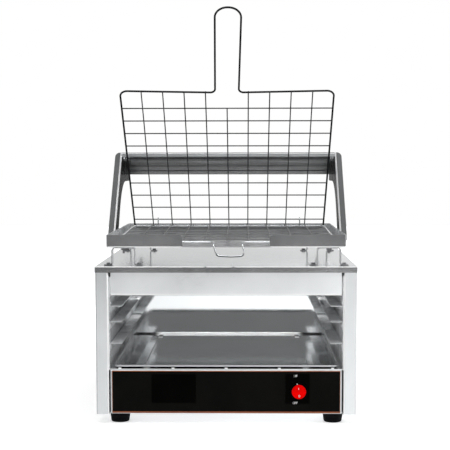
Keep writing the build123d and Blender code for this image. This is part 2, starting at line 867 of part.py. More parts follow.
# Leads between the terminal block, the switch and the elements
lead_start_z = block_top_z - block_well_depth
blade_end_y = label_y + switch_body_depth + blade_length
lead_routes = [
    [
        (block_x - block_well_pitch, block_y, lead_start_z),
        (block_x - block_well_pitch, block_y, lead_level),
        (block_x - block_well_pitch, blade_end_y + 4 * lead_bend, lead_level),
        (switch_x - blade_spacing, blade_end_y + 4 * lead_bend, lead_level),
        (switch_x - blade_spacing, blade_end_y + 4 * lead_bend, switch_z - lead_bend),
        (switch_x - blade_spacing, blade_end_y + lead_bend, switch_z),
        (switch_x - blade_spacing, blade_end_y, switch_z),
    ],
    [
        (block_x, block_y, lead_start_z),
        (block_x, block_y, lead_level),
        (block_x, riser_lead_y, lead_level),
        (block_x, riser_lead_y, element_z),
    ],
    [
        (switch_x + blade_spacing, blade_end_y, switch_z),
        (switch_x + blade_spacing, riser_lead_y, switch_z),
        (element_outer_x, riser_lead_y, switch_z),
        (element_outer_x, riser_lead_y, element_z),
    ],
]
with BuildPart() as internal_wires:
    for route in lead_routes:
        with BuildLine() as lead_path:
            FilletPolyline(*route, radius=lead_bend / 2)
        swept_wire(lead_path.line, lead_radius)
    with Locations((0, riser_lead_y, element_z)):
        Cylinder(lead_radius, 2 * element_inner_x, rotation=(0, 90, 0))
save(internal_wires, "internal_wires")

# Cable gland on the back panel
with BuildPart() as cable_gland:
    with Locations(Location((gland_x, rear_flange_y, gland_z), (-90, 0, 0))):
        with Locations((0, 0, sheet + gland_reach)):
            Cylinder(gland_dome_radius, gland_reach, align=high_align)
    fillet(cable_gland.edges().sort_by(Axis.Y)[-1], gland_dome_round)
    with Locations(Location((gland_x, rear_flange_y, gland_z), (-90, 0, 0))):
        Cylinder(gland_hex_radius, gland_hex_height, align=low_align)
        Cylinder(gland_thread_radius, gland_inside, align=high_align)
        Cylinder(gland_bore_radius, 4 * gland_reach, mode=Mode.SUBTRACT)
    with BuildSketch(Plane.XZ.offset(-rear_flange_y + 2 * sheet + gland_hex_height / 2)):
        with Locations((gland_x, gland_z)):
            RegularPolygon(gland_hex_radius, 6)
            Circle(gland_thread_radius - weld_sink, mode=Mode.SUBTRACT)
    extrude(amount=-gland_hex_height / 2 + sheet)
save(cable_gland, "cable_gland")

with BuildPart() as back_screws:
    with Locations(*[Location((x, rear_flange_y, z), (-90, 0, 0)) for x, z in back_screw_spots]):
        headed_pin(deck_head_radius, deck_head_height, deck_shank_radius, deck_screw_length)
save(back_screws, "back_screws")


# Riser brackets between the top panel and the tray
def riser(side, y):
    with BuildPart() as built:
        with BuildSketch(Plane.XZ.offset(-y - riser_width / 2)):
            with BuildLine():
                FilletPolyline(
                    (side * (riser_outer_x + riser_foot), top_z),
                    (side * riser_outer_x, top_z),
                    (side * riser_outer_x, riser_top_z),
                    (side * riser_inner_x, riser_top_z),
                    (side * riser_inner_x, top_z),
                    (side * (riser_inner_x - riser_foot), top_z),
                    radius=riser_bend,
                )
                offset(amount=riser_sheet, side=Side.RIGHT if side > 0 else Side.LEFT)
            make_face()
        extrude(amount=riser_width)
        with Locations(*[(side * x, y, top_z) for x in riser_screw_xs]):
            Cylinder(screw_shank_radius + hole_gap, 4 * riser_sheet, mode=Mode.SUBTRACT)
        with Locations((side * tray_bolt_x, y, tray_z)):
            Cylinder(screw_shank_radius + hole_gap, 4 * riser_sheet, mode=Mode.SUBTRACT)
    return built


riser_names = ["riser_front_left", "riser_front_right", "riser_rear_left", "riser_rear_right"]
for name, (side, y) in zip(riser_names, [(side, y) for y in riser_spots for side in (-1, 1)]):
    save(riser(side, y), name)

with BuildPart() as riser_screws:
    with Locations(*[(x, y, top_z + riser_sheet) for x, y in riser_screw_spots]):
        headed_pin(screw_head_radius, screw_head_height, screw_shank_radius, 4 * riser_sheet)
    fillet(riser_screws.edges().group_by(Axis.Z)[-1], screw_head_height / 3)
    with Locations(*[(x, y, top_z + riser_sheet) for x, y in riser_screw_spots]):
        cross_slot(screw_head_radius, screw_head_height)
save(riser_screws, "riser_screws")

# Tray bolts, heads inside the tray, and the nuts under the risers
with BuildPart() as tray_bolts:
    with Locations(*[(x, y, tray_z + sheet) for x, y in tray_bolt_spots]):
        headed_pin(screw_head_radius, screw_head_height, screw_shank_radius, tray_bolt_length)
    fillet(tray_bolts.edges().group_by(Axis.Z)[-1], screw_head_height / 3)
save(tray_bolts, "tray_bolts")

with BuildPart() as tray_nuts:
    with BuildSketch(Plane.XY.offset(riser_top_z)):
        with Locations(*tray_bolt_spots):
            RegularPolygon(nut_flat_radius, 6, major_radius=False)
            Circle(screw_shank_radius + pin_gap, mode=Mode.SUBTRACT)
    extrude(amount=-nut_height)
save(tray_nuts, "tray_nuts")

# Upper tray with the low notch in its front wall
with BuildPart() as upper_tray:
    with Locations((0, front_y + tray_front, tray_z)):
        Box(
            2 * tray_half_width,
            tray_back - tray_front,
            tray_height,
            align=(Align.CENTER, Align.MIN, Align.MIN),
        )
    tray_rim = upper_tray.edges().group_by(Axis.Z)[-1]
    fillet(upper_tray.edges() - tray_rim, tray_bend)
    offset(amount=-sheet, openings=upper_tray.faces().sort_by(Axis.Z)[-1])
    with BuildSketch(Plane.XZ.offset(-front_y - tray_front - 2 * sheet)):
        with Locations((0, tray_z + notch_floor)):
            Rectangle(2 * notch_half_width, tray_height, align=(Align.CENTER, Align.MIN))
    extrude(amount=4 * sheet, mode=Mode.SUBTRACT)
    notch_corners = (
        upper_tray.edges()
        .filter_by(Axis.Y)
        .filter_by(lambda edge: abs(abs(edge.center().X) - notch_half_width) < sheet)
        .group_by(Axis.Z)
    )
    fillet(notch_corners[-1], notch_corner)
    with Locations(*[(x, y, tray_z) for x, y in tray_bolt_spots]):
        Cylinder(screw_shank_radius + hole_gap, 4 * sheet, mode=Mode.SUBTRACT)
    with Locations(*[(side * tray_half_width, y, tray_rivet_z) for side in (-1, 1) for y in tray_rivet_ys]):
        Cylinder(rivet_shank_radius + pin_gap, 4 * sheet, rotation=(0, 90, 0), mode=Mode.SUBTRACT)
save(upper_tray, "upper_tray")

# Hood sides: leaning web with an outward front flange
hood_low_y = front_y + hood_foot_inset + (hood_bottom_z - hood_foot_z) * hood_lean
hood_high_y = front_y + hood_foot_inset + (hood_top_z - hood_foot_z) * hood_lean
hood_rise = hood_top_z - hood_bottom_z
hood_plane = Plane(origin=(0, hood_low_y, hood_bottom_z), x_dir=(1, 0, 0), z_dir=(0, hood_lean, 1))
with BuildPart() as hood_right_side:
    with BuildSketch(hood_plane.offset(-hood_rise / 4)):
        with BuildLine():
            FilletPolyline(
                (tray_half_width, hood_web_lap),
                (tray_half_width, 0),
                (tray_half_width + hood_flange, 0),
                radius=hood_bend,
            )
            offset(amount=hood_sheet, side=Side.LEFT)
        make_face()
    extrude(amount=2 * hood_rise)
    with BuildSketch(Plane.XZ.offset(-mid_y)):
        with BuildLine():
            FilletPolyline(
                (0, hood_bottom_z),
                (tray_half_width + hood_flange, hood_bottom_z),
                (tray_half_width + hood_flange, hood_top_z),
                (0, hood_top_z),
                radius=[0, 0, hood_corner, 0],
                close=True,
            )
        make_face()
    extrude(amount=cabinet_depth, both=True, mode=Mode.INTERSECT)
    with BuildSketch(Plane.YZ.offset(tray_half_width)):
        with BuildLine():
            FilletPolyline(
                (hood_low_y + hood_web_inset, hood_bottom_z),
                (front_y + hood_rear_start, hood_bottom_z),
                (front_y + hood_corner_inset, hood_underside_z),
                (back_y, hood_underside_z),
                (back_y, hood_top_z),
                (hood_high_y + hood_web_inset, hood_top_z),
                radius=[0, 0, hood_curve, 0, 0, 0],
                close=True,
            )
        make_face()
    extrude(amount=hood_sheet)
    with Locations(
        *[(tray_half_width, y, tray_rivet_z) for y in tray_rivet_ys],
        *[(tray_half_width, y, roof_rivet_z) for y in roof_rivet_ys],
    ):
        Cylinder(rivet_shank_radius + pin_gap, 4 * sheet, rotation=(0, 90, 0), mode=Mode.SUBTRACT)
save(hood_right_side, "hood_right_side")
hood_left_side = other_hand(hood_right_side)
save(hood_left_side, "hood_left_side")

# Hood roof between the sides: front lip, roof, rear skirt and side tabs
with BuildPart() as hood_roof:
    with BuildSketch(Plane.YZ):
        with BuildLine():
            FilletPolyline(
                (back_y, hood_top_z - roof_skirt),
                (back_y, hood_top_z),
                (front_y + roof_front, hood_top_z),
                (front_y + roof_front, hood_top_z - roof_lip),
                radius=hood_bend,
            )
            offset(amount=hood_sheet, side=Side.LEFT)
        make_face()
    extrude(amount=tray_half_width, both=True)
    tab_x = tray_half_width - hood_sheet / 2
    tab_top_z = hood_top_z - hood_sheet / 2
    with Locations(*[(side * tab_x, front_y + roof_tab_front, tab_top_z) for side in (-1, 1)]):
        Box(
            hood_sheet,
            roof_tab_back - roof_tab_front,
            roof_tab_height,
            align=(Align.CENTER, Align.MIN, Align.MAX),
        )
    with Locations(*[(side * tray_half_width, y, roof_rivet_z) for side in (-1, 1) for y in roof_rivet_ys]):
        Cylinder(rivet_shank_radius + pin_gap, 4 * sheet, rotation=(0, 90, 0), mode=Mode.SUBTRACT)
save(hood_roof, "hood_roof")

# Hood rivets: into the tray walls low down, into the roof tabs high up
low_rivets = [(side, y, tray_rivet_z, sheet) for side in (-1, 1) for y in tray_rivet_ys]
high_rivets = [(side, y, roof_rivet_z, hood_sheet) for side in (-1, 1) for y in roof_rivet_ys]
with BuildPart() as hood_rivets:
    for side, y, z, inner_sheet in low_rivets + high_rivets:
        with Locations(Location((side * (tray_half_width + hood_sheet), y, z), (0, 90 * side, 0))):
            Cone(rivet_head_radius, rivet_tip_radius, rivet_head_height, align=low_align)
            Cylinder(rivet_shank_radius, hood_sheet + inner_sheet, align=high_align)
        with Locations(Location((side * (tray_half_width - inner_sheet), y, z), (0, -90 * side, 0))):
            Cone(rivet_head_radius, rivet_tip_radius, rivet_head_height, align=low_align)
save(hood_rivets, "hood_rivets")

# Rack frame: one wire, its front bar running out into the handle loop
rack_plane = Plane(
    origin=(0, rack_front_y, rack_front_z),
    x_dir=(1, 0, 0),
    z_dir=(0, -sin(rack_slope), cos(rack_slope)),
)
rack_handle_y = -rack_handle_reach - rack_handle_lean
with BuildPart() as rack_frame:
    with BuildLine(rack_plane) as rack_path:
        FilletPolyline(
            (rack_handle_right_x + 2 * rack_handle_bend, 0),
            (mesh_half_width, 0),
            (mesh_half_width, rack_length),
            (-mesh_half_width, rack_length),
            (-mesh_half_width, 0),
            (rack_handle_left_x - 2 * rack_handle_bend, 0),
            radius=wire_corner,
        )
    swept_wire(rack_path.line, frame_wire)
    with BuildLine(rack_plane) as rack_handle_path:
        FilletPolyline(
            (rack_handle_left_x - 2 * rack_handle_bend, 0),
            (rack_handle_left_x, 0),
            (rack_handle_left_x, -rack_handle_reach),
            (rack_handle_low_left_x, rack_handle_y, -rack_handle_drop),
            (
                (rack_handle_low_left_x + rack_handle_low_right_x) / 2,
                rack_handle_y,
                -rack_handle_drop - rack_handle_sag,
            ),
            (rack_handle_low_right_x, rack_handle_y, -rack_handle_drop),
            (rack_handle_right_x, -rack_handle_reach),
            (rack_handle_right_x, 0),
            (rack_handle_right_x + 2 * rack_handle_bend, 0),
            radius=rack_handle_bend,
        )
    swept_wire(rack_handle_path.line, frame_wire)
save(rack_frame, "rack_frame")

# Rack wires: long ones lie on the frame bars, cross ones hang under the long ones
long_level = frame_wire + inner_wire - weld_sink
cross_level = long_level - 2 * inner_wire + weld_sink
cross_half_length = mesh_half_width - frame_wire + weld_sink
rack_cross_pitch = rack_length / (rack_cross_count + 1)
rack_cross_vs = [rack_cross_pitch * (n + 1) for n in range(rack_cross_count)]
side_columns = [column * mesh_pitch for column in range(1, mesh_columns // 2)]
outer_columns = [side * x for side in (-1, 1) for x in side_columns]
with BuildPart() as rack_long_wires:
    with Locations(rack_plane.offset(long_level)):
        with Locations(*[(x, rack_length / 2) for x in outer_columns]):
            Cylinder(inner_wire, rack_length + 2 * grid_wire_overhang, rotation=(90, 0, 0))
        with Locations((0, (rack_cross_vs[0] + rack_length) / 2)):
            Cylinder(inner_wire, rack_length - rack_cross_vs[0] + 2 * grid_wire_overhang, rotation=(90, 0, 0))
save(rack_long_wires, "rack_long_wires")

with BuildPart() as rack_cross_wires:
    with Locations(rack_plane.offset(cross_level)):
        with Locations(*[(0, v) for v in rack_cross_vs]):
            Cylinder(inner_wire, 2 * cross_half_length, rotation=(0, 90, 0))
save(rack_cross_wires, "rack_cross_wires")

# Rack hooks: welded in front of the rear bar and curled round the hinge wire
with BuildPart() as rack_hooks:
    for side in (-1, 1):
        with BuildLine(Plane.YZ.offset(side * hook_x)) as hook_path:
            hook_leg = Line((hinge_y - hook_loop, hook_foot_z), (hinge_y - hook_loop, hinge_z))
            CenterArc((hinge_y, hinge_z), hook_loop, 180, -hook_curl)
        swept_wire(hook_path.line, hook_wire)
save(rack_hooks, "rack_hooks")

# Rack feet: bent wires behind the first cross wire and in front of the rear bar
foot_floor_z = tray_z + sheet + hook_wire + rack_foot_gap
front_cross_y = rack_front_y + rack_cross_vs[0] * cos(rack_slope)
front_cross_z = rack_front_z + rack_cross_vs[0] * sin(rack_slope) + cross_level * cos(rack_slope)
front_stand_y = front_cross_y + inner_wire + hook_wire - weld_sink
rear_stand_y = rack_bar_y - frame_wire - hook_wire + weld_sink
with BuildPart() as rack_feet:
    for y, z in ((front_stand_y, front_cross_z), (rear_stand_y, rack_back_z)):
        for side in (-1, 1):
            with BuildLine() as stand_path:
                FilletPolyline(
                    (side * rack_foot_left_x, y, z),
                    (side * rack_foot_left_x, y, foot_floor_z),
                    (side * rack_foot_right_x, y, foot_floor_z),
                    (side * rack_foot_right_x, y, z),
                    radius=rack_foot_bend,
                )
            swept_wire(stand_path.line, hook_wire)
save(rack_feet, "rack_feet")

# Grid: its cross wires lie in the plane through the hinge axis
grid_plane = Plane(origin=(0, hinge_y, hinge_z), x_dir=(1, 0, 0), z_dir=(0, -sin(lean), -cos(lean)))
with BuildPart() as grid_frame:
    with BuildLine(grid_plane.offset(-frame_drop)) as grid_path:
        FilletPolyline(
            (-mesh_half_width, -grid_bottom_reach),
            (mesh_half_width, -grid_bottom_reach),
            (mesh_half_width, grid_top_reach),
            (grid_handle_base, grid_top_reach - grid_top_sag),
            (grid_handle_offset + grid_handle_half_width, grid_handle_reach),
            (grid_handle_offset - grid_handle_half_width, grid_handle_reach),
            (-grid_handle_base, grid_top_reach - grid_top_sag),
            (-mesh_half_width, grid_top_reach),
            radius=[
                wire_corner,
                wire_corner,
                wire_corner,
                grid_handle_base_bend,
                grid_handle_bend,
                grid_handle_bend,
                grid_handle_base_bend,
                wire_corner,
            ],
            close=True,
        )
    swept_wire(grid_path.line, frame_wire)
save(grid_frame, "grid_frame")

grid_pitches = [grid_last_pitch - n * grid_pitch_change for n in range(grid_cross_count)]
grid_cross_vs = [sum(grid_pitches[:n]) for n in range(grid_cross_count + 1)]
with BuildPart() as grid_cross_wires:
    with Locations(grid_plane):
        with Locations(*[(0, v) for v in grid_cross_vs]):
            Cylinder(inner_wire, 2 * cross_half_length, rotation=(0, 90, 0))
save(grid_cross_wires, "grid_cross_wires")

with BuildPart() as grid_long_wires:
    with Locations(grid_plane.offset(2 * inner_wire - weld_sink)):
        with Locations(*[(x, (grid_top_reach - grid_bottom_reach) / 2) for x in outer_columns]):
            Cylinder(
                inner_wire,
                grid_top_reach + grid_bottom_reach + 2 * grid_wire_overhang,
                rotation=(90, 0, 0),
            )
        with Locations((0, (grid_cross_vs[-1] - grid_bottom_reach) / 2)):
            Cylinder(
                inner_wire,
                grid_cross_vs[-1] + grid_bottom_reach + 2 * grid_wire_overhang,
                rotation=(90, 0, 0),
            )
save(grid_long_wires, "grid_long_wires")
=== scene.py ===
import math

import bpy
from mathutils import Matrix, Vector


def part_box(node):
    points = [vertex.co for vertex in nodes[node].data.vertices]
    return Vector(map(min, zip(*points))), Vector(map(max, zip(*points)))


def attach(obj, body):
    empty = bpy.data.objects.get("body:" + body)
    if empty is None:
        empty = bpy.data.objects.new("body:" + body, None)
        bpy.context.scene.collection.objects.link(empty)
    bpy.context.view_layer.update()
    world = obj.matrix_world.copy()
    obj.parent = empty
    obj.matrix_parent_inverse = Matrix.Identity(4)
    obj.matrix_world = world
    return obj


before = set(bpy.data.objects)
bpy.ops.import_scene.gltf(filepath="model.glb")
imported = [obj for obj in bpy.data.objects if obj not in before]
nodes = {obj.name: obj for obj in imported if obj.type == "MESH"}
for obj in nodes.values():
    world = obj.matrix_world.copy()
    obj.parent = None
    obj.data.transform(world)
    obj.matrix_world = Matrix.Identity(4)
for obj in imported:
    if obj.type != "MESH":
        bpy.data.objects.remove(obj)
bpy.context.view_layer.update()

MM = 0.001
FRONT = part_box("top_panel")[0][1]
TRAY_LOW, TRAY_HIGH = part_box("upper_tray")
CRUMB_LOW, CRUMB_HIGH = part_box("crumb_tray")
HOOD_LOW, HOOD_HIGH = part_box("hood_roof")
RACK_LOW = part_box("rack_frame")[0]
ROCK_LOW, ROCK_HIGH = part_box("switch_rocker")
SWITCH_LOW, SWITCH_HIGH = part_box("switch_body")

# Grain of a sheet: the axis with 1 is the one that its lines follow
GRAIN_X = (1, 40, 40)
GRAIN_Y = (40, 1, 40)
GRAIN_Z = (40, 40, 1)
FINE_GRAIN_X = (1, 60, 60)
FINE_GRAIN_Z = (60, 60, 1)
SOFT_GRAIN_X = (1, 30, 30)
STREAK_X = (0.04, 1, 1)
NO_GRAIN = (1, 1, 1)

# The part of a noise's range that most of its values lie in
NOISE_LOW = 0.3
NOISE_HIGH = 0.7

# Inputs and output of a mix node for each kind of data
MIX_SOCKETS = {"FLOAT": (2, 3, 0), "RGBA": (6, 7, 2)}


# A node tree, with short calls that add and join its nodes
class Graph:
    def __init__(self, tree):
        self.tree = tree

    def new(self, kind, **properties):
        node = self.tree.nodes.new(kind)
        for key, value in properties.items():
            setattr(node, key, value)
        return node

    def link(self, source, target):
        self.tree.links.new(source, target)

    # A socket takes a link, a colour or a number
    def feed(self, socket, value):
        if isinstance(value, bpy.types.NodeSocket):
            self.link(value, socket)
        elif isinstance(value, tuple):
            socket.default_value = (*value, 1.0)
        else:
            socket.default_value = value

    def math(self, operation, *values):
        node = self.new("ShaderNodeMath", operation=operation)
        for socket, value in zip(node.inputs, values):
            self.feed(socket, value)
        return node.outputs[0]

    def ramp(self, value, start, end, low=0.0, high=1.0, kind="LINEAR"):
        node = self.new("ShaderNodeMapRange", interpolation_type=kind)
        for key, number in (("From Min", start), ("From Max", end), ("To Min", low), ("To Max", high)):
            node.inputs[key].default_value = number
        self.link(value, node.inputs["Value"])
        return node.outputs["Result"]

    def blend(self, factor, first, second, kind="RGBA"):
        node = self.new("ShaderNodeMix", data_type=kind)
        first_input, second_input, output = MIX_SOCKETS[kind]
        self.link(factor, node.inputs[0])
        self.feed(node.inputs[first_input], first)
        self.feed(node.inputs[second_input], second)
        return node.outputs[output]

    def axes(self, vector):
        node = self.new("ShaderNodeSeparateXYZ")
        self.link(vector, node.inputs[0])
        return node.outputs


# A material whose colour, roughness and bump come from nodes in object coordinates
class Finish(Graph):
    def __init__(self, name, **values):
        self.material = bpy.data.materials.new(name)
        self.material.use_nodes = True
        super().__init__(self.material.node_tree)
        self.bsdf = self.tree.nodes["Principled BSDF"]
        for key, value in values.items():
            self.feed(self.bsdf.inputs[key.replace("_", " ")], value)

    def place(self):
        return self.new("ShaderNodeTexCoord").outputs["Object"]

    def noise(self, scale, detail, roughness, stretch=NO_GRAIN):
        mapping = self.new("ShaderNodeMapping")
        mapping.inputs["Scale"].default_value = stretch
        self.link(self.place(), mapping.inputs["Vector"])
        node = self.new("ShaderNodeTexNoise")
        for key, number in (("Scale", scale), ("Detail", detail), ("Roughness", roughness)):
            node.inputs[key].default_value = number
        self.link(mapping.outputs["Vector"], node.inputs["Vector"])
        return node.outputs["Fac"]

    def spread(self, noise, low, high):
        return self.ramp(noise, NOISE_LOW, NOISE_HIGH, low, high)

    def bump(self, height, strength, distance):
        node = self.new("ShaderNodeBump")
        node.inputs["Strength"].default_value = strength
        node.inputs["Distance"].default_value = distance
        self.link(height, node.inputs["Height"])
        self.link(node.outputs["Normal"], self.bsdf.inputs["Normal"])

    def surface(self, colour, roughness):
        self.link(colour, self.bsdf.inputs["Base Color"])
        self.link(roughness, self.bsdf.inputs["Roughness"])

    # Painted shade: a darker tint that fades in from start to end, measured sideways from the middle
    def painted_shade_across(self, start, end, tint):
        socket = self.bsdf.inputs["Base Color"]
        before = socket.links[0].from_socket
        away = self.math("ABSOLUTE", self.axes(self.place())["X"])
        fade = self.ramp(away, start, end, kind="SMOOTHSTEP")
        self.link(self.blend(fade, before, tint), socket)


def steel(name, dark, light, rough, grain, grain_scale, metallic=1.0):
    finish = Finish(name, Metallic=metallic)
    cloud = finish.noise(scale=9.0, detail=4.0, roughness=0.55)
    fine = finish.noise(scale=grain_scale, detail=2.0, roughness=0.6, stretch=grain)
    colour = finish.blend(finish.spread(cloud, 0.0, 1.0), dark, light)
    roughness = finish.math("MULTIPLY", finish.spread(cloud, 0.8, 1.2), finish.spread(fine, *rough))
    finish.surface(colour, roughness)
    finish.bump(fine, strength=0.02, distance=0.0002)
    return finish


def plastic(name, dark, light, rough, scale, bump, shine):
    finish = Finish(name, Specular_IOR_Level=shine)
    fine = finish.noise(scale=scale, detail=4.0, roughness=0.6)
    cloud = finish.noise(scale=25.0, detail=3.0, roughness=0.5)
    colour = finish.blend(finish.spread(cloud, 0.0, 1.0), dark, light)
    finish.surface(colour, finish.spread(fine, *rough))
    finish.bump(fine, strength=bump, distance=0.0003)
    return finish


# Skirt under the hood: long streaks along the sheet, and painted reflections in bands from low to high
def streaked_with_painted_reflections(name, bands, low, high):
    finish = Finish(name, Metallic=1.0)
    height = finish.ramp(finish.axes(finish.place())["Z"], low, high)
    wander = finish.noise(scale=6.0, detail=2.0, roughness=0.5)
    wave = finish.math("MULTIPLY_ADD", wander, 0.06, height)
    ramp = finish.new("ShaderNodeValToRGB")
    stops = ramp.color_ramp.elements
    for place, _ in bands[2:]:
        stops.new(place)
    for stop, (place, level) in zip(stops, bands):
        stop.position = place
        stop.color = (level, level * 1.01, level * 1.02, 1)
    finish.link(wave, ramp.inputs["Fac"])
    fine = finish.noise(scale=300.0, detail=3.0, roughness=0.6, stretch=STREAK_X)
    colour = finish.blend(finish.spread(fine, 0.0, 0.22), ramp.outputs["Color"], (0.16, 0.16, 0.165))
    finish.surface(colour, finish.spread(fine, 0.14, 0.26))
    finish.bump(fine, strength=0.03, distance=0.0002)
    return finish


# Metals: name, dark and light tone, range of roughness, grain and its scale, metallic where under 1
METALS = {
    # Sheets
    "polished": ("polished_sheet", (0.69, 0.70, 0.71), (0.79, 0.80, 0.81), (0.05, 0.11), GRAIN_X, 500.0),
    "top": ("top_sheet", (0.61, 0.63, 0.64), (0.71, 0.73, 0.74), (0.10, 0.20), GRAIN_Y, 400.0),
    "post": ("satin_sheet", (0.70, 0.72, 0.73), (0.79, 0.81, 0.82), (0.34, 0.46), FINE_GRAIN_Z, 60.0),
    "side": ("side_sheet", (0.50, 0.51, 0.52), (0.60, 0.61, 0.62), (0.36, 0.50), FINE_GRAIN_Z, 60.0),
    "fascia": ("fascia_sheet", (0.82, 0.84, 0.85), (0.92, 0.94, 0.95), (0.30, 0.42), FINE_GRAIN_X, 60.0),
    "base": ("base_sheet", (0.50, 0.51, 0.52), (0.60, 0.61, 0.62), (0.30, 0.42), FINE_GRAIN_X, 60.0),
    "back": ("back_sheet", (0.77, 0.79, 0.80), (0.82, 0.84, 0.85), (0.025, 0.05), SOFT_GRAIN_X, 300.0),
    "crumb": ("crumb_sheet", (0.78, 0.79, 0.80), (0.88, 0.89, 0.90), (0.05, 0.10), GRAIN_Y, 300.0),
    "tray": ("tray_sheet", (0.68, 0.69, 0.70), (0.78, 0.79, 0.80), (0.08, 0.16), FINE_GRAIN_X, 400.0),
    "hood": ("hood_sheet", (0.68, 0.70, 0.71), (0.78, 0.80, 0.81), (0.12, 0.20), GRAIN_X, 400.0),
    # The arms' inner webs: a darker, mottled copy of the hood sheet, painted shade
    "hood_web_painted_shade": ("hood_web_painted_shade", (0.34, 0.35, 0.36), (0.60, 0.61, 0.62), (0.14, 0.28), FINE_GRAIN_Z, 200.0),
    "hood_lip": ("hood_lip", (0.60, 0.62, 0.63), (0.72, 0.74, 0.75), (0.34, 0.48), FINE_GRAIN_X, 200.0),
    # The top of the hood's lip: a darker copy of the lip, painted shade
    "lip_top": (
        "hood_lip_top_painted_shade", (0.42, 0.425, 0.43), (0.48, 0.485, 0.49), (0.34, 0.48), FINE_GRAIN_X, 200.0,
    ),
    "riser": ("riser_strip", (0.50, 0.51, 0.52), (0.64, 0.65, 0.66), (0.18, 0.30), GRAIN_Z, 300.0),
    # Sheets with a matt share, for faces deep in the shade
    "liner": ("liner_sheet", (0.55, 0.56, 0.57), (0.88, 0.89, 0.90), (0.16, 0.30), SOFT_GRAIN_X, 300.0, 0.5),
    # The right liner: a lighter copy of the left one, painted light
    "liner_painted_light": (
        "liner_painted_light", (0.74, 0.75, 0.76), (0.94, 0.95, 0.96), (0.16, 0.30), SOFT_GRAIN_X, 300.0, 0.3,
    ),
    "rail": ("rail_sheet", (0.62, 0.63, 0.64), (0.84, 0.85, 0.86), (0.20, 0.34), GRAIN_X, 300.0, 0.5),
    "tray_inside": ("tray_inside", (0.60, 0.61, 0.62), (0.82, 0.83, 0.84), (0.20, 0.34), GRAIN_Y, 90.0, 0.68),
    # Bends and hems with a painted highlight, and the edge line
    # Bend lines: near white and partly matt, a painted highlight on bends
    "bend": ("bend_painted_highlight", (0.92, 0.93, 0.94), (0.98, 0.98, 0.98), (0.40, 0.50), NO_GRAIN, 300.0, 0.4),
    # The same painted highlight for the tray's bend in the notch, with painted shade inside the notch
    "notch_bend_painted_highlight": ("notch_bend_painted_highlight", (0.92, 0.93, 0.94), (0.98, 0.98, 0.98), (0.40, 0.50), NO_GRAIN, 300.0, 0.4),
    # The crumb tray's rear rim and hem: near white and nearly matt, a painted highlight
    "seam": ("hem_painted_highlight", (0.90, 0.91, 0.92), (0.96, 0.97, 0.98), (0.40, 0.55), GRAIN_X, 300.0, 0.05),
    "copper": ("edge_line", (0.20, 0.055, 0.018), (0.30, 0.09, 0.03), (0.35, 0.50), NO_GRAIN, 600.0, 0.3),
    # Wires, fixings and rods
    "wire": ("bright_wire", (0.74, 0.76, 0.77), (0.86, 0.88, 0.89), (0.10, 0.20), NO_GRAIN, 700.0),
    # The rack's own wires: a dark copy of the bright wire, painted shade
    "rack_wire_painted_shade": (
        "rack_wire_painted_shade", (0.16, 0.162, 0.164), (0.26, 0.263, 0.266), (0.45, 0.60), NO_GRAIN, 700.0, 0.4,
    ),
    # Painted shade on the unlit side of the rack handle's wire
    "wire_painted_shade": ("wire_painted_shade", (0.05, 0.052, 0.054), (0.12, 0.123, 0.126), (0.25, 0.40), NO_GRAIN, 700.0),
    "zinc": ("zinc_fixing", (0.62, 0.63, 0.66), (0.78, 0.79, 0.80), (0.16, 0.30), NO_GRAIN, 1200.0),
    "bolt": ("dark_bolt", (0.12, 0.12, 0.125), (0.30, 0.30, 0.31), (0.20, 0.40), NO_GRAIN, 1200.0),
    # Rivet and screw heads: near white and partly matt, a painted glint
    "rivet": ("rivet_painted_glint", (0.88, 0.89, 0.90), (0.96, 0.97, 0.98), (0.40, 0.50), NO_GRAIN, 1200.0, 0.3),
    "sheath": ("element_sheath", (0.20, 0.18, 0.15), (0.34, 0.31, 0.27), (0.35, 0.55), NO_GRAIN, 300.0),
}

# Plastics, paints and rubber: name, dark and light tone, range of roughness, scale, bump, shine
PLASTICS = {
    "dark_wire": ("dark_wire", (0.010, 0.010, 0.011), (0.030, 0.030, 0.032), (0.4, 0.55), 900.0, 0.02, 0.0),
    "mesh_wire": ("mesh_wire", (0.030, 0.030, 0.032), (0.080, 0.080, 0.084), (0.5, 0.7), 900.0, 0.02, 0.0),
    "overlay": (
        "gloss_overlay", (0.0018, 0.0018, 0.0015), (0.0034, 0.0034, 0.0028), (0.10, 0.16), 300.0, 0.01, 0.03,
    ),
    "plate": (
        "bare_plate", (0.0008, 0.0007, 0.0006), (0.0016, 0.0014, 0.0012), (0.3, 0.42), 700.0, 0.05, 0.012,
    ),
    "black": (
        "switch_black", (0.0005, 0.0005, 0.0005), (0.0012, 0.0012, 0.0012), (0.25, 0.4), 900.0, 0.02, 0.015,
    ),
    "red": ("rocker_red", (0.94, 0.001, 0.001), (0.98, 0.002, 0.001), (0.3, 0.4), 900.0, 0.02, 0.02),
    "rubber": (
        "foot_rubber", (0.0012, 0.0012, 0.0018), (0.0040, 0.0040, 0.0052), (0.6, 0.8), 500.0, 0.2, 0.08,
    ),
    "block": ("block_white", (0.78, 0.78, 0.74), (0.86, 0.86, 0.82), (0.4, 0.55), 600.0, 0.05, 0.5),
    "mark": ("print_white", (0.86, 0.87, 0.88), (0.95, 0.96, 0.96), (0.4, 0.55), 900.0, 0.02, 0.3),
    "lead": ("lead_red", (0.42, 0.03, 0.02), (0.5, 0.05, 0.03), (0.35, 0.5), 600.0, 0.05, 0.5),
}

# Painted reflections on the skirt: place from low to high, and level
SKIRT_PAINTED_REFLECTIONS = (
    (0.0, 0.5), (0.08, 0.9), (0.24, 0.8), (0.44, 0.7), (0.52, 0.36), (0.62, 0.5), (0.8, 0.68), (0.94, 0.3),
)
SKIRT_HEIGHT = 33 * MM

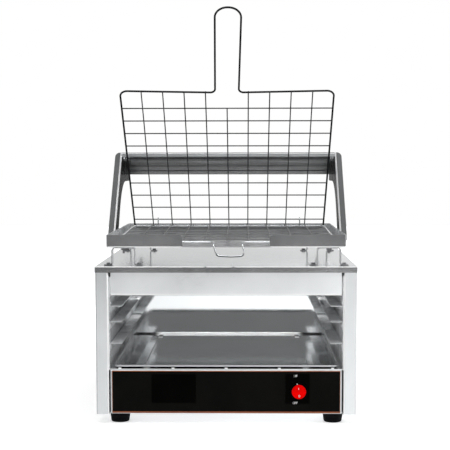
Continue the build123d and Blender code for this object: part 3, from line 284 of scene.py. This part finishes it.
FINISHES = {key: steel(*row) for key, row in METALS.items()}
FINISHES.update({key: plastic(*row) for key, row in PLASTICS.items()})
FINISHES["hood_skirt_painted_reflections"] = streaked_with_painted_reflections("hood_skirt_painted_reflections", SKIRT_PAINTED_REFLECTIONS, HOOD_LOW[2], HOOD_LOW[2] + SKIRT_HEIGHT)

# Painted shade: the hem's painted highlight is darker towards its ends, and the tray's lower bend inside the
# notch
FINISHES["seam"].painted_shade_across(130 * MM, 145 * MM, (0.04, 0.04, 0.042))
FINISHES["notch_bend_painted_highlight"].painted_shade_across(73 * MM, 71 * MM, (0.26, 0.265, 0.27))

# Painted shade: the webs of the hood's arms stay dark at a grazing angle, by a near-black specular tint
FINISHES["hood_web_painted_shade"].bsdf.inputs["Specular Tint"].default_value = (0.02, 0.02, 0.02, 1)

RAILS = "left_upper_rail right_upper_rail left_middle_rail right_middle_rail left_lower_rail right_lower_rail"
SIDE_PANELS = "left_side_panel right_side_panel"
HOOD_SIDES = "hood_left_side hood_right_side"
USES = {
    "polished": "chamber_deck heat_reflector",
    "top": "top_panel",
    "post": SIDE_PANELS + " bottom_plate back_panel",
    "fascia": "upper_fascia",
    "base": "base_front_panel",
    "back": "chamber_back",
    "liner": "left_liner",
    # The right liner in the lighter copy: painted light
    "liner_painted_light": "right_liner",
    "rail": RAILS,
    "crumb": "crumb_tray",
    "tray": "upper_tray",
    "hood": HOOD_SIDES + " hood_roof",
    "riser": "riser_front_left riser_front_right riser_rear_left riser_rear_right element_brackets",
    "wire": "rack_frame rack_hooks",
    # The rack's own wires in painted shade
    "rack_wire_painted_shade": "rack_long_wires rack_cross_wires rack_feet",
    "dark_wire": "grid_frame",
    "mesh_wire": "grid_long_wires grid_cross_wires",
    "zinc": "foot_screws back_screws hood_rivets element_bushes",
    "bolt": "riser_screws tray_bolts tray_nuts",
    # Rivet and screw heads with a painted glint
    "rivet": "rail_rivets deck_screws",
    "overlay": "control_overlay",
    "copper": "overlay_edge_line",
    "plate": "blank_plate switch_plate",
    "black": "switch_body cable_gland",
    "red": "switch_rocker",
    "rubber": "foot_front_left foot_front_right foot_rear_left foot_rear_right",
    "sheath": "left_heating_element right_heating_element",
    "block": "terminal_block",
    "lead": "internal_wires",
}
for key, names in USES.items():
    for name in names.split():
        mesh = nodes[name].data
        mesh.materials.clear()
        mesh.materials.append(FINISHES[key].material)


# Faces of a node whose centre c and normal n pass the test take another finish
def paint(names, key, test):
    for name in names.split():
        mesh = nodes[name].data
        mesh.materials.append(FINISHES[key].material)
        index = len(mesh.materials) - 1
        for polygon in mesh.polygons:
            if test(polygon.center, polygon.normal):
                polygon.material_index = index


# Whether a face looks towards the middle of the object, or away from it
def inward(c, n):
    return n.x * c.x < 0


def outward(c, n):
    return n.x * c.x > 0


# How far a face is turned towards an axis, as the share of its normal along it
HARDLY = 0.03
SLIGHTLY = 0.05
PARTLY = 0.1
CLEARLY = 0.12
LIT_FROM_ABOVE = 0.2
HALFWAY = 0.5
MOSTLY = 0.6
LARGELY = 0.7
NEARLY = 0.9
WHOLLY = 0.95
BEND_END = 0.985

# Upper tray: its floor and the inner faces of its four walls
WALL_REACH = 3 * MM
paint(
    "upper_tray",
    "tray_inside",
    lambda c, n: n.z > HALFWAY
    or (n.y > HALFWAY and c.y < TRAY_LOW[1] + WALL_REACH)
    or (n.y < -HALFWAY and c.y > TRAY_HIGH[1] - WALL_REACH)
    or (inward(c, n) and abs(n.x) > HALFWAY),
)

# Upper tray: a painted highlight on the bend under the front wall, with less of it inside the notch
TRAY_BEND_BACK = TRAY_LOW[1] + 4 * MM
paint("upper_tray", "bend", lambda c, n: n.z < -CLEARLY and n.y < -SLIGHTLY and c.y < TRAY_BEND_BACK)
paint(
    "upper_tray",
    "notch_bend_painted_highlight",
    lambda c, n: -LARGELY < n.z < -CLEARLY and n.y < -SLIGHTLY and c.y < TRAY_BEND_BACK,
)

# Top panel: a polished lip, with a painted highlight along its upper bend
paint("top_panel", "polished", lambda c, n: n.y < -MOSTLY)
paint("top_panel", "bend", lambda c, n: n.z > CLEARLY and n.y < -SLIGHTLY)

# Hood roof: lip in front and its top in painted shade, skirt behind with painted reflections, and the top
# sheet
LIP_BACK = HOOD_LOW[1] + 4 * MM
LIP_TOP_BACK = HOOD_LOW[1] + 5 * MM
TOP_SHEET_FROM = HOOD_HIGH[2] - 1 * MM
SKIRT_FROM = HOOD_HIGH[1] - 4 * MM
paint("hood_roof", "hood_lip", lambda c, n: n.y < -PARTLY and c.y < LIP_BACK)
paint("hood_roof", "lip_top", lambda c, n: n.z > PARTLY and n.y < -HARDLY and c.y < LIP_TOP_BACK)
paint("hood_roof", "side", lambda c, n: n.z > WHOLLY and c.z > TOP_SHEET_FROM)
paint("hood_roof", "hood_skirt_painted_reflections", lambda c, n: n.y < -HALFWAY and c.y > SKIRT_FROM)

# Hood arms: painted shade on the inner webs, and a painted highlight on the bend between web and flange
paint(HOOD_SIDES, "hood_web_painted_shade", lambda c, n: inward(c, n) and abs(n.x) > NEARLY)
paint(HOOD_SIDES, "bend", lambda c, n: inward(c, n) and CLEARLY < abs(n.x) < BEND_END and n.y < -HARDLY)

# Side panels: a painted highlight on the inner edge of the post, painted shade on its outer bend, and the
# outer face
POST_INNER_X = 194 * MM
POST_BEND_BACK = FRONT + 6 * MM
paint(
    SIDE_PANELS,
    "bend",
    lambda c, n: inward(c, n)
    and PARTLY < abs(n.x) < BEND_END
    and n.y < -PARTLY
    and abs(c.x) < POST_INNER_X
    and c.y < POST_BEND_BACK,
)
# A dark line on the outer bend of the post, in the darker base sheet: painted shade
paint(SIDE_PANELS, "base", lambda c, n: outward(c, n) and PARTLY < abs(n.x) < NEARLY and n.y < -PARTLY)
paint(SIDE_PANELS, "side", lambda c, n: outward(c, n) and abs(n.x) > NEARLY)

# Rack handle: painted shade on its low bar where it isn't lit from above, and on the right side of its other
# wires
HANDLE_BAR_TOP = RACK_LOW[2] + 5 * MM
paint(
    "rack_frame",
    "wire_painted_shade",
    lambda c, n: c.y < TRAY_LOW[1] and (n.z < LIT_FROM_ABOVE if c.z < HANDLE_BAR_TOP else n.x > LARGELY),
)

# Chamber: painted highlight on the hem of the fascia, cut ends of the rails, the front rim of the crumb tray
# in a darker sheet, and a painted highlight on its rear rim
FRONT_RIM_BACK = CRUMB_LOW[1] + 3 * MM
REAR_RIM_FROM = CRUMB_HIGH[1] - 2.2 * MM
paint("upper_fascia", "bend", lambda c, n: n.z < -CLEARLY and n.y < -SLIGHTLY)
paint(RAILS, "base", lambda c, n: n.y < -NEARLY)
paint("crumb_tray", "side", lambda c, n: c.y < FRONT_RIM_BACK)
paint("crumb_tray", "seam", lambda c, n: c.y > REAR_RIM_FROM)


def add_mesh(name, verts, faces, material):
    mesh = bpy.data.meshes.new(name)
    mesh.from_pydata(verts, [], faces)
    mesh.validate()
    mesh.materials.append(material)
    o = bpy.data.objects.new(name, mesh)
    bpy.context.scene.collection.objects.link(o)
    return o


def piece(name, verts, faces, key, body, slot):
    o = add_mesh(name, verts, faces, FINISHES[key].material)
    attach(o, body)
    return o


# Rolled hem on the rear rim of the crumb tray: a flattened tube that waves a little, with a painted highlight
HEM_HALF_WIDTH = 146 * MM
HEM_RADIUS = 1.1 * MM
HEM_FLATNESS = 1.6
HEM_REAR_OFFSET = 0.6 * MM
HEM_DROP = 0.2 * MM
HEM_SIDES = 10
HEM_SPANS = 48
LONG_WAVE, LONG_TURN = 0.15 * MM, 0.9
SHORT_WAVE, SHORT_TURN = 0.1 * MM, 2.3


def hem_wave(i):
    return LONG_WAVE * math.sin(i * LONG_TURN) + SHORT_WAVE * math.sin(i * SHORT_TURN)


def rolled_hem():
    middle_y, middle_z = CRUMB_HIGH[1] + HEM_REAR_OFFSET, CRUMB_HIGH[2] - HEM_DROP
    verts, faces = [], []
    for i in range(HEM_SPANS + 1):
        x = -HEM_HALF_WIDTH + 2 * HEM_HALF_WIDTH * i / HEM_SPANS
        for k in range(HEM_SIDES):
            turn = 2 * math.pi * k / HEM_SIDES
            y = middle_y + HEM_RADIUS * HEM_FLATNESS * math.cos(turn)
            verts.append((x, y, middle_z + hem_wave(i) + HEM_RADIUS * math.sin(turn)))
    for i in range(HEM_SPANS):
        for k in range(HEM_SIDES):
            a, b = i * HEM_SIDES + k, i * HEM_SIDES + (k + 1) % HEM_SIDES
            faces.append((a, b, b + HEM_SIDES, a + HEM_SIDES))
    faces.append(tuple(range(HEM_SIDES))[::-1])
    faces.append(tuple(HEM_SPANS * HEM_SIDES + k for k in range(HEM_SIDES)))
    return verts, faces


piece("crumb_tray_hem", *rolled_hem(), "seam", "crumb_tray", "polished_steel")

# Printed marks and a white dot: strokes a little proud of a surface, drawn in units of a letter's height
PRINT_DEPTH = 0.08 * MM
LETTER_PITCH = 1.05
LETTER_SPACE = 0.25
RAY_START = 0.05
STROKE_FACES = ((3, 2, 1, 0), (4, 5, 6, 7), (0, 1, 5, 4), (1, 2, 6, 5), (2, 3, 7, 6), (3, 0, 4, 7))


def ring(cx, cy, rx, ry, count=12):
    turns = [2 * math.pi * i / count for i in range(count)]
    points = [(cx + rx * math.cos(turn), cy + ry * math.sin(turn)) for turn in turns]
    return points + [points[0]]


GLYPHS = {
    "O": [ring(0.4, 0.5, 0.38, 0.5)],
    "N": [[(0, 0), (0, 1), (0.75, 0), (0.75, 1)]],
    "F": [[(0, 0), (0, 1), (0.6, 1)], [(0, 0.52), (0.5, 0.52)]],
    "I": [[(0.4, 0), (0.4, 1)]],
    ".": [[(0.4, 0.45), (0.4, 0.55)]],
}


# Lines of a text, centred on the origin
def word(text):
    lines, shift = [], 0.0
    for letter in text:
        lines.extend([[(u + shift, v) for u, v in line] for line in GLYPHS[letter]])
        shift += LETTER_PITCH
    half = (shift - LETTER_SPACE) / 2
    return [[(u - half, v - 0.5) for u, v in line] for line in lines]


def strokes(origin, across, rise, out, lines, size, thick):
    verts, faces = [], []
    for line in lines:
        for (u0, v0), (u1, v1) in zip(line, line[1:]):
            start = origin + across * (u0 * size) + rise * (v0 * size)
            end = origin + across * (u1 * size) + rise * (v1 * size)
            along = (end - start).normalized()
            start = start - along * (thick / 2)
            end = end + along * (thick / 2)
            half = out.cross(along) * (thick / 2)
            base = len(verts)
            for lift in (0.0, PRINT_DEPTH):
                for corner in (start - half, end - half, end + half, start + half):
                    verts.append(tuple(corner + out * lift))
            faces.extend(tuple(base + i for i in face) for face in STROKE_FACES)
    return verts, faces


# The mark lies on the node's surface where a ray from the front meets it
def mark(name, text, node, x, z, size, thick, body):
    hit, spot, normal, _ = nodes[node].ray_cast(Vector((x, FRONT - RAY_START, z)), Vector((0, 1, 0)))
    if not hit:
        raise ValueError(name)
    out = Vector(normal).normalized()
    across = Vector((1, 0, 0)) - out * out.x
    across.normalize()
    rise = out.cross(across)
    rise = rise if rise.z > 0 else -rise
    verts, faces = strokes(Vector(spot), across, rise, out, word(text), size, thick)
    return piece(name, verts, faces, "mark", body, "block_white")


# Marks of the switch: name, text, node under it, place from the switch in mm, height, stroke, body
SWITCH_X = (ROCK_LOW[0] + ROCK_HIGH[0]) / 2
SWITCH_Z = (SWITCH_LOW[2] + SWITCH_HIGH[2]) / 2
MARKS = (
    ("label_word_on", "ON", "switch_plate", -6.0, 25.9, 2.8, 0.9, "cabinet"),
    ("label_word_off", "OFF", "switch_plate", -6.2, -18.6, 2.8, 0.9, "cabinet"),
    # A small white dot at the top of the switch's bezel, drawn like the print
    ("bezel_dot", ".", "switch_body", -3.0, 12.7, 2.6, 1.4, "cabinet"),
    ("rocker_mark_i", "I", "switch_rocker", -0.6, 5.2, 2.4, 0.8, "rocker"),
    ("rocker_mark_o", "O", "switch_rocker", 0.6, -6.9, 3.0, 0.8, "rocker"),
)
for name, text, node, right_of, above, height, stroke, body in MARKS:
    mark(name, text, node, SWITCH_X + right_of * MM, SWITCH_Z + above * MM, height * MM, stroke * MM, body)

# Floor: white for the camera away from the object; in reflections darker to the left
FLOOR_HALF_WIDTH = 6
FLOOR_BACK = 6
FLOOR_FRONT = FRONT - 2.3
MIRRORED_SPAN, MIRRORED_LEVEL = (-0.5, 0.5), (0.22, 0.86)
SEEN_SPAN, SEEN_LEVEL = (0.3, 1.3), (0.5, 1.0)
ground = Finish("floor_white", Base_Color=(0.86, 0.86, 0.86), Roughness=0.6)
ray = ground.new("ShaderNodeLightPath").outputs
position = ground.new("ShaderNodeNewGeometry").outputs["Position"]
reach = ground.new("ShaderNodeVectorMath", operation="LENGTH")
ground.link(position, reach.inputs[0])
mirrored = ground.ramp(ground.axes(position)["X"], *MIRRORED_SPAN, *MIRRORED_LEVEL)
seen = ground.ramp(reach.outputs["Value"], *SEEN_SPAN, *SEEN_LEVEL)
level = ground.blend(ray["Is Camera Ray"], mirrored, seen, kind="FLOAT")
lit = ground.math("MAXIMUM", ray["Is Camera Ray"], ray["Is Glossy Ray"])
glow = ground.new("ShaderNodeEmission")
ground.link(ground.math("MULTIPLY", lit, level), glow.inputs["Strength"])
both = ground.new("ShaderNodeAddShader")
ground.link(ground.bsdf.outputs[0], both.inputs[0])
ground.link(glow.outputs[0], both.inputs[1])
ground.link(both.outputs[0], ground.tree.nodes["Material Output"].inputs["Surface"])
floor = add_mesh(
    "floor",
    [
        (-FLOOR_HALF_WIDTH, FLOOR_FRONT, 0),
        (FLOOR_HALF_WIDTH, FLOOR_FRONT, 0),
        (FLOOR_HALF_WIDTH, FLOOR_BACK, 0),
        (-FLOOR_HALF_WIDTH, FLOOR_BACK, 0),
    ],
    [(0, 1, 2, 3)],
    ground.material,
)

# World: white for the camera; in reflections darker in front, overhead and to the left
SHADES = (
    # Axis of the direction, span along it, level at either end
    ("Y", (-0.35, 0.35), (0.25, 1.0)),
    ("Z", (0.3, 0.8), (1.0, 0.45)),
    ("X", (-0.05, 0.25), (0.72, 1.0)),
)
world = bpy.data.worlds.new("studio")
bpy.context.scene.world = world
world.use_nodes = True
sky = Graph(world.node_tree)
background = sky.tree.nodes["Background"]
direction = sky.axes(sky.new("ShaderNodeTexCoord").outputs["Generated"])
shade = 1.0
for axis, span, levels in SHADES:
    shade = sky.math("MULTIPLY", shade, sky.ramp(direction[axis], *span, *levels, kind="SMOOTHSTEP"))
from_camera = sky.new("ShaderNodeLightPath").outputs["Is Camera Ray"]
sky.link(sky.blend(from_camera, shade, 1.0, kind="FLOAT"), background.inputs["Strength"])
background.inputs["Color"].default_value = (1, 1, 1, 1)


# Lamps: rectangles that look at a target
def area(name, place, target, width, height, power):
    lamp = bpy.data.lights.new(name, "AREA")
    lamp.shape = "RECTANGLE"
    lamp.size, lamp.size_y, lamp.energy = width, height, power
    o = bpy.data.objects.new(name, lamp)
    bpy.context.scene.collection.objects.link(o)
    o.location = place
    o.rotation_euler = (Vector(target) - Vector(place)).to_track_quat("-Z", "Y").to_euler()
    return o


# Boxes that look at the middle of the body: name, place, width, height, power
BODY_MIDDLE = (0, 0, 0.3)
BOXES = (
    ("top_box", (0.0, -1.5, 2.3), 2.2, 1.0, 34),
    ("right_box", (2.2, -1.6, 1.3), 1.2, 1.6, 22),
    ("left_box", (-2.2, -1.8, 1.3), 1.0, 1.4, 12),
)
for name, place, width, height, power in BOXES:
    area(name, place, BODY_MIDDLE, width, height, power)

# A weak lamp in the chamber that lights the hem, and that no reflection shows
HEM = (0, CRUMB_HIGH[1], CRUMB_HIGH[2])
FILL_PLACE = (0, CRUMB_HIGH[1] - 40 * MM, 0.19)
fill = area("chamber_fill", FILL_PLACE, HEM, width=0.34, height=0.02, power=0.35)
fill.visible_glossy = False
fill.visible_camera = False

# Camera solved from the photograph: its focal length and shift in pixels, its angles and place
IMAGE_WIDTH = 450.0
FOCAL_LENGTH = 1200.0
SHIFT_UP = 55.0
SENSOR = 36.0
PITCH, YAW, ROLL = math.radians(5.514), math.radians(-0.936), math.radians(-0.074)
PLACE = (0.0299, FRONT - 1.9201, 0.4217)
lens = bpy.data.cameras.new("camera")
camera = bpy.data.objects.new("camera", lens)
bpy.context.scene.collection.objects.link(camera)
bpy.context.scene.camera = camera
lens.sensor_width = SENSOR
lens.lens = SENSOR * FOCAL_LENGTH / IMAGE_WIDTH
lens.shift_y = SHIFT_UP / IMAGE_WIDTH
lens.clip_start, lens.clip_end = 0.05, 50
forward = Vector((math.sin(YAW) * math.cos(PITCH), math.cos(YAW) * math.cos(PITCH), -math.sin(PITCH)))
level_right = Vector((math.cos(YAW), -math.sin(YAW), 0))
right = math.cos(ROLL) * level_right + math.sin(ROLL) * level_right.cross(forward)
up = right.cross(forward)
camera.matrix_world = Matrix([(right[i], up[i], -forward[i], PLACE[i]) for i in range(3)] + [(0, 0, 0, 1)])

bpy.context.scene.view_settings.view_transform = "Standard"
